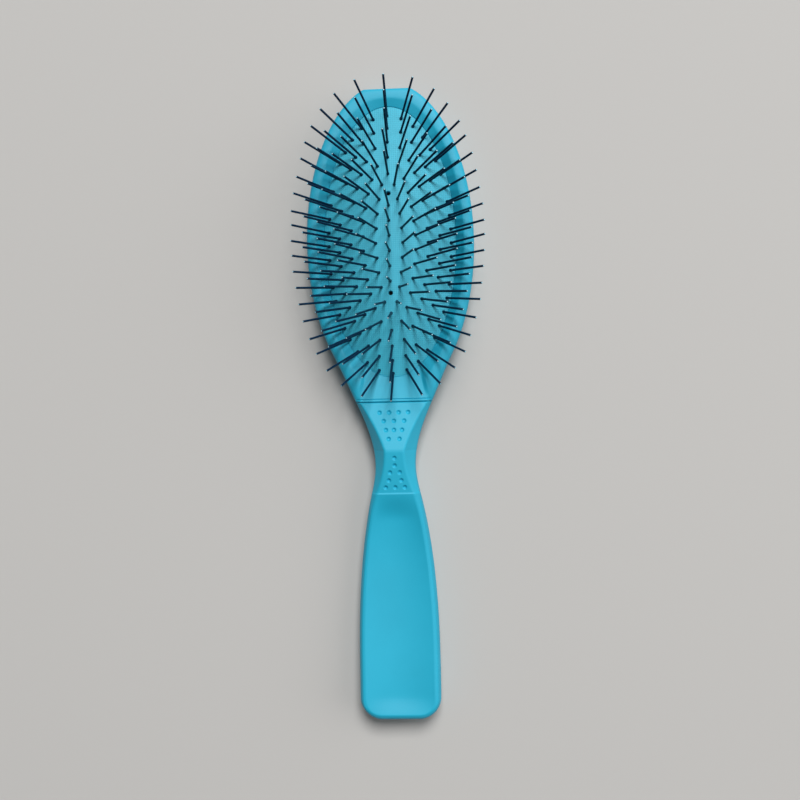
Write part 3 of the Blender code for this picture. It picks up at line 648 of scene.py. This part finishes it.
def math_node(tree, operation, a, b=None, c=None):
    """One arithmetic step on links or numbers."""
    node = tree.nodes.new("ShaderNodeMath")
    node.operation = operation
    for socket, value in zip(node.inputs, (a, b, c)):
        if isinstance(value, (int, float)):
            socket.default_value = value
        elif value is not None:
            tree.links.new(value, socket)
    return node.outputs["Value"]


def woven_rubber(name):
    """Matt rubber: threads along X and Y, shade painted in their valleys and vents, clouds of
    colour.
    """
    material, tree, shader = new_material(name)
    place = tree.nodes.new("ShaderNodeTexCoord")
    split = tree.nodes.new("ShaderNodeSeparateXYZ")
    tree.links.new(place.outputs["Object"], split.inputs["Vector"])
    waves = [math_node(tree, "SINE", math_node(tree, "MULTIPLY", split.outputs[axis],
                                               2 * math.pi / THREAD_PITCH)) for axis in ("X", "Y")]
    weave = math_node(tree, "MULTIPLY_ADD", math_node(tree, "MAXIMUM", *waves), 0.5, 0.5)
    clouds = noise(tree, 60, 3)
    colour = ramp(tree, clouds, (0.020, 0.435, 0.595), (0.030, 0.475, 0.645))
    # Painted shade: the weave's valleys are a little darker, standing for the shade between the
    # threads.
    weave_valley_shade = ramp(tree, weave, (0.74, 0.80, 0.83), (1.0, 1.0, 1.0), 0.1, 0.9)
    mix = tree.nodes.new("ShaderNodeMix")
    mix.data_type = 'RGBA'
    mix.blend_type = 'MULTIPLY'
    mix.inputs["Factor"].default_value = 1.0
    tree.links.new(colour, mix.inputs["A"])
    tree.links.new(weave_valley_shade, mix.inputs["B"])

    middle = math_node(tree, "ADD", split.outputs["Y"], PIN_FIELD_SETBACK)
    along = math_node(tree, "SUBTRACT", math_node(tree, "ABSOLUTE", middle), VENT_Y)
    squares = [math_node(tree, "MULTIPLY", side, side) for side in (split.outputs["X"], along)]
    off = math_node(tree, "SQRT", math_node(tree, "ADD", *squares))
    # Painted shade: inside each vent the colour is nearly black, standing for the unlit hollow
    # below.
    vent_shade_mask = math_node(tree, "LESS_THAN", off, VENT_RADIUS * 0.97)
    dark = tree.nodes.new("ShaderNodeMix")
    dark.data_type = 'RGBA'
    dark.inputs["B"].default_value = (0.0005, 0.0015, 0.003, 1)
    tree.links.new(vent_shade_mask, dark.inputs["Factor"])
    tree.links.new(mix.outputs["Result"], dark.inputs["A"])
    tree.links.new(dark.outputs["Result"], shader.inputs["Base Color"])
    tree.links.new(spread(tree, noise(tree, 1500, 2), 0.6, 0.72), shader.inputs["Roughness"])
    shader.inputs["Specular IOR Level"].default_value = 0.8
    tree.links.new(bump(tree, weave, 0.00012, 0.55), shader.inputs["Normal"])
    return material


teal_rubber = woven_rubber("teal_woven_rubber")
print("vents at", round(VENT_Y / MM, 1), "mm from the middle")

# %% [markdown]
# ## Cushion
# The cushion is a thin rubber dome over air. It is highest in the middle and falls
# with the square of the distance, like skin blown up over an oval frame, and it
# stands on a short shoulder inside the rim. Rows run across it and crowd together
# near the vents, so that each vent is a real round sleeve, deeper than the rubber.

# %% Height of the rubber


def rubber_height(x, y):
    """Dome: crown times (1 - share), where share is the squared oval radius."""
    share = (x / PAD_HALF_WIDTH) ** 2 + (y / PAD_HALF_LENGTH) ** 2
    inside = np.maximum(0, 1 - share)
    return FLANGE_TOP + SHOULDER_RISE * (0.85 + 0.15 * ease(0, 0.02, inside)) + CROWN_RISE * inside


# %% Cushion surface
VENT_DEPTH = 2.4 * MM
VENT_UNDERSIDE_DROP = 1.4 * MM


def cushion_rows():
    """Places along the cushion: even by angle, with fine steps across each vent."""
    y = PAD_HALF_LENGTH * np.sin(np.linspace(-math.pi / 2, math.pi / 2, 150))
    fine = np.linspace(-1.3 * MM, 1.3 * MM, 23)
    for centre in (-PIN_FIELD_SETBACK - VENT_Y, -PIN_FIELD_SETBACK + VENT_Y):
        y = np.concatenate((y[np.abs(y - centre) > 1.4 * MM], centre + fine))
    return np.sort(y)


def cushion_columns():
    """Shares of the half-width: fine by the mid-line and by the edge."""
    side = np.concatenate((np.linspace(0, 0.055, 12), np.linspace(0.055, 0.93, 40)[1:],
                           np.linspace(0.93, 1, 14)[1:]))
    return np.concatenate((-side[:0:-1], side))


def make_cushion():
    """Top and underside of the dome, joined round the edge by the clamped flange."""
    y = cushion_rows()
    u = cushion_columns()
    w = PAD_HALF_WIDTH * np.sqrt(np.maximum(0, 1 - (y / PAD_HALF_LENGTH) ** 2))
    x = w[:, None] * u[None]
    y = np.broadcast_to(y[:, None], x.shape)
    z = rubber_height(x, y)
    off = np.hypot(x, np.abs(y + PIN_FIELD_SETBACK) - VENT_Y)
    pit = 1 - ease(0.86, 1.14, off / VENT_RADIUS)
    top = np.stack((x, y, z - VENT_DEPTH * pit), axis=2)
    under = np.stack((x, y, z - RUBBER_THICKNESS - VENT_UNDERSIDE_DROP * pit), axis=2)
    rows, columns = x.shape
    count = rows * columns
    edge = np.concatenate((np.arange(rows) * columns + columns - 1,
                           np.arange(rows - 2, 0, -1) * columns))
    rim_points = top.reshape(-1, 3)[edge, :2]
    out = to_oval(rim_points, FLANGE_WIDTH)
    corners = ((rim_points, FLANGE_TOP), (out, FLANGE_TOP), (out, FRONT_BOTTOM))
    flange = [np.concatenate((loop, np.full((len(loop), 1), height)), axis=1)
              for loop, height in corners]
    points = np.concatenate((top.reshape(-1, 3), under.reshape(-1, 3), *flange))
    faces = grid_faces(rows, columns).tolist() + grid_faces(rows, columns, count).tolist()
    flange_loops = [2 * count + i * len(edge) + np.arange(len(edge)) for i in range(3)]
    loops = [edge, *flange_loops, edge + count]
    for a, b in zip(loops, loops[1:]):
        faces += np.stack((a, np.roll(a, -1), np.roll(b, -1), b), axis=1).tolist()
    return make_piece("cushion_dome", points, faces, teal_rubber, 60)


cushion = make_cushion()
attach(cushion, "body")
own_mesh(cushion)
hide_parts("rubber_cushion")

# %% [markdown]
# ## Pins
# Each pin is moulded in dark nylon, with a wider collar at the foot, a straight
# shaft and a rounded tip. The pins stand in five nested ovals round a centre line,
# upright in the middle and splayed by up to 40 degrees near the rim. All pins of a
# row are worked out together: a round profile carried along each pin's own axis.
# Eight sides are enough for a shaft under a millimetre thick.

# %% Where the pins stand
# Shares of the outermost oval, powers of the ovals' curves, and leans as sines
RING_COUNT = 5
FEWEST_SIDE_PINS = 9            # down one side of the innermost oval; one more each oval
CENTRE_PINS = 6
PIN_SIDE_MARGIN = 1.85 * MM
WIDTH_BOW = 0.117
END_START, END_BOW = 0.395, 0.126
POWER_START, POWER_STEP = 1.16, 0.178
SIDE_PITCH, CENTRE_PITCH_GAIN = 0.1065, 0.0097
ARC_BOW = 0.58
SIDE_LEAN, SIDE_LEAN_REACH = 0.625, 0.49
END_LEAN, END_LEAN_POWER = 0.515, 1.6
OUTER_RING = np.array((PAD_HALF_WIDTH - PIN_SIDE_MARGIN, PAD_HALF_LENGTH - PIN_END_MARGIN))


def ring_shape(ring):
    """Half-width, half-length and power of one nested oval."""
    share = ring / RING_COUNT
    width = OUTER_RING[0] * share * (1 + WIDTH_BOW * (1 - share))
    end_gain = 1 + END_BOW - END_START
    length = OUTER_RING[1] * (END_START + end_gain * share - END_BOW * share * share)
    return width, length, POWER_START + POWER_STEP * ring


def side_pitch(ring):
    """Distance between neighbours down the side of one oval."""
    return OUTER_RING[1] * (SIDE_PITCH + CENTRE_PITCH_GAIN * (1 - ring / RING_COUNT) ** 2)


def side_places(ring):
    """Pins down the right side, evenly along the brush, on the oval."""
    width, length, power = ring_shape(ring)
    count = FEWEST_SIDE_PINS + ring - 1
    y = (np.arange(count) - (count - 1) / 2) * side_pitch(ring)
    return np.stack((width * np.sqrt(1 - np.abs(y / length) ** power), y), axis=1)


def arc_places(ring):
    """Pins round the head end of one oval, from right to left."""
    width, length, power = ring_shape(ring)
    reach = side_places(ring)[-1, 0]
    i = np.arange(1 - ring, ring)
    share = np.abs(i) / ring
    x = reach * share * (1 + ARC_BOW * (1 - share))
    return np.stack((-np.sign(i) * x, length * (1 - (x / width) ** 2) ** (1 / power)), axis=1)


def pin_rows():
    """Places of every row by the name of its solid; row 1 is the outermost."""
    rows = {}
    for ring in range(RING_COUNT, 0, -1):
        number = RING_COUNT + 1 - ring
        rows[f"pin_row_{number}_right"] = side_places(ring)
        rows[f"pin_row_{number}_left"] = side_places(ring) * (-1, 1)
        rows[f"pin_row_{number}_head"] = arc_places(ring)
        rows[f"pin_row_{number}_neck"] = arc_places(ring) * (1, -1)
    middle = (np.arange(CENTRE_PINS) - (CENTRE_PINS - 1) / 2) * side_pitch(0)
    rows["pin_row_centre"] = np.stack((middle * 0, middle), axis=1)
    return {name: places - (0, PIN_FIELD_SETBACK) for name, places in rows.items()}


def pin_axes(places):
    """Unit direction of each pin: the lean grows towards the sides and the ends."""
    across = SIDE_LEAN * np.tanh(places[:, 0] / (SIDE_LEAN_REACH * OUTER_RING[0]))
    share = (places[:, 1] + PIN_FIELD_SETBACK) / OUTER_RING[1]
    along = np.sign(share) * END_LEAN * np.abs(share) ** END_LEAN_POWER
    return np.stack((across, along, np.sqrt(1 - across ** 2 - along ** 2)), axis=1)


rows = pin_rows()
print("pins:", sum(len(places) for places in rows.values()))

# %% [markdown]
# ### Nylon
# The nylon is nearly black, with a blue cast. Each pin's tip carries a tiny painted
# highlight, a pale colour that stands for the point of light the lamp makes on it from
# above. The mesh carries an attribute that is 1 on that highlight and 0 elsewhere, and
# it mixes the two colours. Fine noise in the roughness stands for handling marks.

# %% Dark nylon


def dark_nylon(name):
    """Glossy dark plastic with faint uneven wear, and a painted highlight on each tip."""
    material, tree, shader = new_material(name)
    marks = noise(tree, 900, 3)
    dark = ramp(tree, marks, (0.0012, 0.016, 0.044), (0.0024, 0.026, 0.064))
    # Painted highlight: a pale colour on the tips, wherever the mesh attribute is 1.
    tip_highlight = tree.nodes.new("ShaderNodeAttribute")
    tip_highlight.attribute_name = "tip_highlight"
    mix = tree.nodes.new("ShaderNodeMix")
    mix.data_type = 'RGBA'
    mix.inputs["B"].default_value = (0.42, 0.78, 0.90, 1)
    tree.links.new(tip_highlight.outputs["Fac"], mix.inputs["Factor"])
    tree.links.new(dark, mix.inputs["A"])
    tree.links.new(mix.outputs["Result"], shader.inputs["Base Color"])
    tree.links.new(spread(tree, marks, 0.26, 0.42), shader.inputs["Roughness"])
    shader.inputs["Specular IOR Level"].default_value = 0.18
    return material


nylon = dark_nylon("dark_pin_nylon")
print("made", nylon.name)

# %% Round pins with a collar and a rounded tip
# Distance along the pin from the rubber, and radius there
PIN_PROFILE = np.array(((-0.7, 0.60), (0.30, 0.60), (0.60, 0.52), (0.90, 0.42), (18.8, 0.40),
                        (19.03, 0.36), (19.14, 0.25), (19.15, 0.19), (19.2, 0.09))) * MM
# The last profile points carry the painted highlight on each tip.
TIP_HIGHLIGHT_STAGES = 2         # last points of the profile, which are pale
PIN_SIDES = 8
SCATTER = 0.010         # of the pins' directions


def make_pins(name, places, spread_seed):
    """Point = foot + axis * distance + radius * (cos * e1 + sin * e2), for all pins at once."""
    chance = np.random.default_rng(spread_seed)
    axes = pin_axes(places) + chance.normal(0, SCATTER, (len(places), 3))
    axes /= np.linalg.norm(axes, axis=1, keepdims=True)
    first = np.cross(axes, (0.0, 1.0, 0.0))
    first /= np.linalg.norm(first, axis=1, keepdims=True)
    second = np.cross(axes, first)
    foot = np.column_stack((places, rubber_height(places[:, 0], places[:, 1])))
    turn = np.arange(PIN_SIDES) * 2 * math.pi / PIN_SIDES
    ring = (np.cos(turn)[None, None, :, None] * first[:, None, None]
            + np.sin(turn)[None, None, :, None] * second[:, None, None])
    points = (foot[:, None, None] + axes[:, None, None] * PIN_PROFILE[None, :, 0, None, None]
              + ring * PIN_PROFILE[None, :, 1, None, None])
    stages = len(PIN_PROFILE)
    one = stages * PIN_SIDES
    faces = []
    for pin in range(len(places)):
        start = pin * one
        faces += grid_faces(stages, PIN_SIDES, start, close_columns=True).tolist()
        faces += [list(range(end, end + PIN_SIDES)) for end in (start, start + one - PIN_SIDES)]
    piece = make_piece(name, points, faces, nylon, 60)
    # The painted highlight: 1 on the last rings of each pin, 0 elsewhere.
    tip_highlight = np.zeros((len(places), stages, PIN_SIDES), dtype=np.float32)
    tip_highlight[:, -TIP_HIGHLIGHT_STAGES:] = 1
    piece.data.attributes.new("tip_highlight", 'FLOAT', 'POINT').data.foreach_set("value", tip_highlight.ravel())
    return piece


for seed, (node, places) in enumerate(rows.items()):
    row = make_pins(node.replace("pin_row", "round_pins"), places, seed)
    number = node.split("_")[2]
    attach(row, "centre_pins" if number == "centre" else f"ring_{number}_pins")
    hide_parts(node)

# %% [markdown]
# ## Floor and light
# The brush lies on a plain pale floor. The main lamp hangs high beyond the head, a
# little to the right and far enough away to look small, so each pin throws a short,
# clear shadow towards the handle. A weaker broad lamp on the right lights the facets
# on that side, and a dim pale world fills the rest.

# %% Floor
FLOOR_REACH = 3.0
FLOOR_HEIGHT = -0.2 * MM


def make_floor():
    """Square pale floor just under the back."""
    corners = ((-1, -1), (1, -1), (1, 1), (-1, 1))
    points = [(FLOOR_REACH * x, FLOOR_REACH * y, FLOOR_HEIGHT) for x, y in corners]
    material, _, shader = new_material("pale_floor")
    shader.inputs["Base Color"].default_value = (0.50, 0.488, 0.47, 1)
    shader.inputs["Roughness"].default_value = 0.9
    mesh = bpy.data.meshes.new("floor")
    mesh.from_pydata(points, [], [(0, 1, 2, 3)])
    mesh.materials.append(material)
    floor = bpy.data.objects.new("floor", mesh)
    bpy.context.scene.collection.objects.link(floor)


make_floor()
print("floor", -FLOOR_HEIGHT / MM, "mm below the back")

# %% Lamps and world
LIT_PLACE = (0.0, -0.05, 0.01)  # both lamps face the middle of the brush


def add_lamp(name, place, aim, size, power):
    """Square area lamp that faces aim."""
    lamp = bpy.data.objects.new(name, bpy.data.lights.new(name, 'AREA'))
    lamp.data.size = size
    lamp.data.energy = power
    lamp.location = place
    lamp.rotation_euler = (Vector(aim) - Vector(place)).to_track_quat('-Z', 'Y').to_euler()
    bpy.context.scene.collection.objects.link(lamp)


add_lamp("lamp_beyond_head", (0.52, 2.4, 3.87), LIT_PLACE, size=1.7, power=205.0)
add_lamp("lamp_at_the_right", (1.86, 0.28, 1.33), LIT_PLACE, size=2.0, power=20.0)

world = bpy.data.worlds.new("soft_room")
bpy.context.scene.world = world
world.use_nodes = True
background = world.node_tree.nodes["Background"]
background.inputs["Color"].default_value = (0.93, 0.96, 1.0, 1)
background.inputs["Strength"].default_value = 0.13
print("lamps:", len(bpy.data.lights))
bpy.context.scene.view_settings.view_transform = 'Standard'
